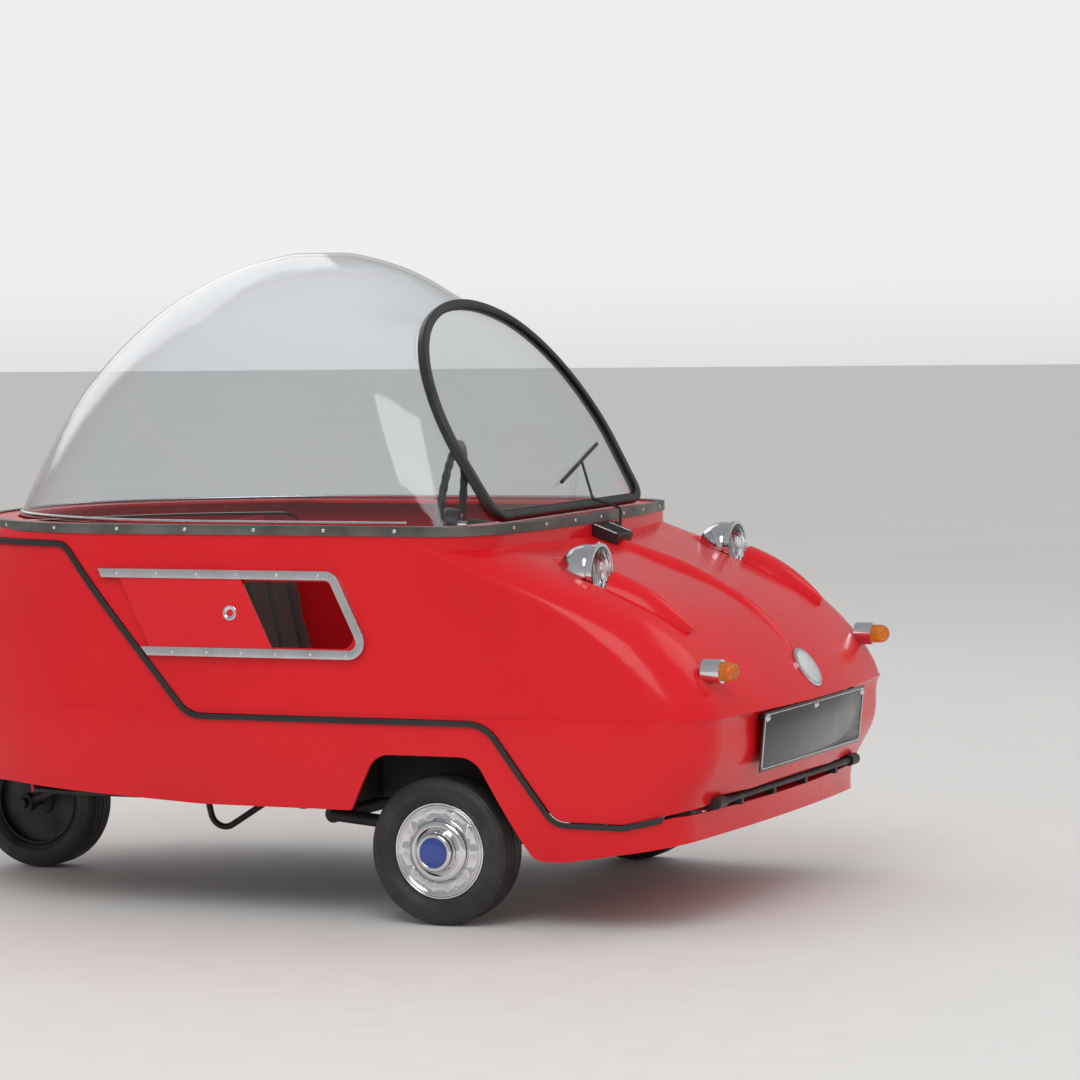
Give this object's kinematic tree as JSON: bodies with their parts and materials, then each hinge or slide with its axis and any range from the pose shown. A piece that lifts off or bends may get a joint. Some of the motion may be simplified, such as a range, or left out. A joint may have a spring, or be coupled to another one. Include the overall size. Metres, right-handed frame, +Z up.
{
  "type": "three wheeled microcar",
  "caption": "Bubble-topped three wheeled microcar whose moulded upper body and clear dome tilt forward on a nose hinge, with steered front wheels and a fork-held rear wheel.",
  "frame": {"origin": "on the ground under the middle of the car's length and width", "axes": "+X forward toward the nose, +Y to the car's left, +Z up"},
  "size_m": [1.8294, 0.991, 1.1942],
  "materials": {
    "body_red": "glossy red moulding",
    "hatch_red": "glossy red sheet",
    "black_rubber": "satin black",
    "bright_trim": "polished",
    "clear_acrylic": "clear",
    "pane_glass": "clear",
    "lamp_glass": "fluted",
    "chrome": "polished",
    "amber": "translucent amber",
    "lamp_red": "translucent red",
    "black_plate": "gloss black paint",
    "black_plastic": "satin black",
    "inner_moulding": "rough inner moulding",
    "dark_steel": "black paint",
    "engine_metal": "cast",
    "exhaust_steel": "heat stained",
    "tyre": "matt",
    "seat_trim": "grained black"
  },
  "bodies": {
    "chassis": {"lower_tub": "body_red", "seam_strip": "black_rubber", "floor_pan": "inner_moulding", "rear_bulkhead": "inner_moulding", "chassis_frame": "dark_steel", "front_suspension": "dark_steel", "rear_fork": "dark_steel", "engine_block": "engine_metal", "exhaust": "exhaust_steel", "seat_pan": "inner_moulding", "seat_cushion": "seat_trim", "seat_backrest": "seat_trim", "steering_pillar": "dark_steel", "controls": "dark_steel", "hinge_rod": "dark_steel", "rear_lamp_bases": "chrome", "rear_lamp_lenses": "lamp_red"},
    "upper_body": {"upper_shell": "body_red", "dome": "clear_acrylic", "rim_strip": "bright_trim", "windscreen_pane": "pane_glass", "windscreen_moulding": "black_rubber", "window_channels": "bright_trim", "headlamp_bowls": "chrome", "headlamp_lenses": "lamp_glass", "nose_lamp_bases": "chrome", "indicator_lenses": "amber", "nose_lamp_glass": "lamp_glass", "number_plate": "black_plate", "vent_scoop": "black_plastic", "wiper": "bright_trim", "hinge_knuckles": "dark_steel"},
    "hatch_right": {"window_hatch_right": "hatch_red"},
    "hatch_left": {"window_hatch_left": "hatch_red"},
    "steering": {"steering_wheel": "black_plastic"},
    "track_link": {"track_rod": "dark_steel"},
    "carrier_left": {"knuckle_left": "dark_steel"},
    "carrier_right": {"knuckle_right": "dark_steel"},
    "wheel_front_left": {"tyre_front_left": "tyre", "rim_front_left": "chrome", "hub_cap_left": "chrome"},
    "wheel_front_right": {"tyre_front_right": "tyre", "rim_front_right": "chrome", "hub_cap_right": "chrome"},
    "wheel_rear": {"tyre_rear": "tyre", "rim_rear": "dark_steel"}
  },
  "joints": [
    {"name": "upper_body_tilt", "type": "hinge", "parent": "chassis", "child": "upper_body", "pos_m": [0.846, 0, 0.221], "axis": [0, 1, 0], "range_deg": [0, 60]},
    {"name": "hatch_right_slide", "type": "slide", "parent": "upper_body", "child": "hatch_right", "axis": [1, 0, 0], "range_m": [0, 0.14]},
    {"name": "hatch_left_slide", "type": "slide", "parent": "upper_body", "child": "hatch_left", "axis": [1, 0, 0], "range_m": [0, 0.14]},
    {"name": "steering_turn", "type": "hinge", "parent": "chassis", "child": "steering", "pos_m": [0.245, -0.15, 0.69], "axis": [-0.947, -0.2895, 0.1392], "range_deg": [-60, 60]},
    {"name": "track_link_slide", "type": "slide", "parent": "chassis", "child": "track_link", "axis": [0, 1, 0], "range_m": [-0.026, 0.026]},
    {"name": "carrier_left_steer", "type": "hinge", "parent": "chassis", "child": "carrier_left", "pos_m": [0.364, 0.352, 0.133], "axis": [0, 0, 1], "range_deg": [-24.1, 24.1]},
    {"name": "carrier_right_steer", "type": "hinge", "parent": "chassis", "child": "carrier_right", "pos_m": [0.364, -0.352, 0.133], "axis": [0, 0, 1], "range_deg": [-24.1, 24.1]},
    {"name": "front_left_roll", "type": "hinge", "parent": "carrier_left", "child": "wheel_front_left", "pos_m": [0.364, 0.434, 0.133], "axis": [0, 1, 0], "continuous": true},
    {"name": "front_right_roll", "type": "hinge", "parent": "carrier_right", "child": "wheel_front_right", "pos_m": [0.364, -0.434, 0.133], "axis": [0, 1, 0], "continuous": true},
    {"name": "rear_roll", "type": "hinge", "parent": "chassis", "child": "wheel_rear", "pos_m": [-0.72, 0, 0.133], "axis": [0, 1, 0], "continuous": true}
  ],
  "couplings": [
    {"joint": "carrier_left_steer", "follows": "steering_turn", "ratio": 0.4},
    {"joint": "carrier_right_steer", "follows": "steering_turn", "ratio": 0.4},
    {"joint": "track_link_slide", "follows": "steering_turn", "m_per_rad": -0.024}
  ]
}
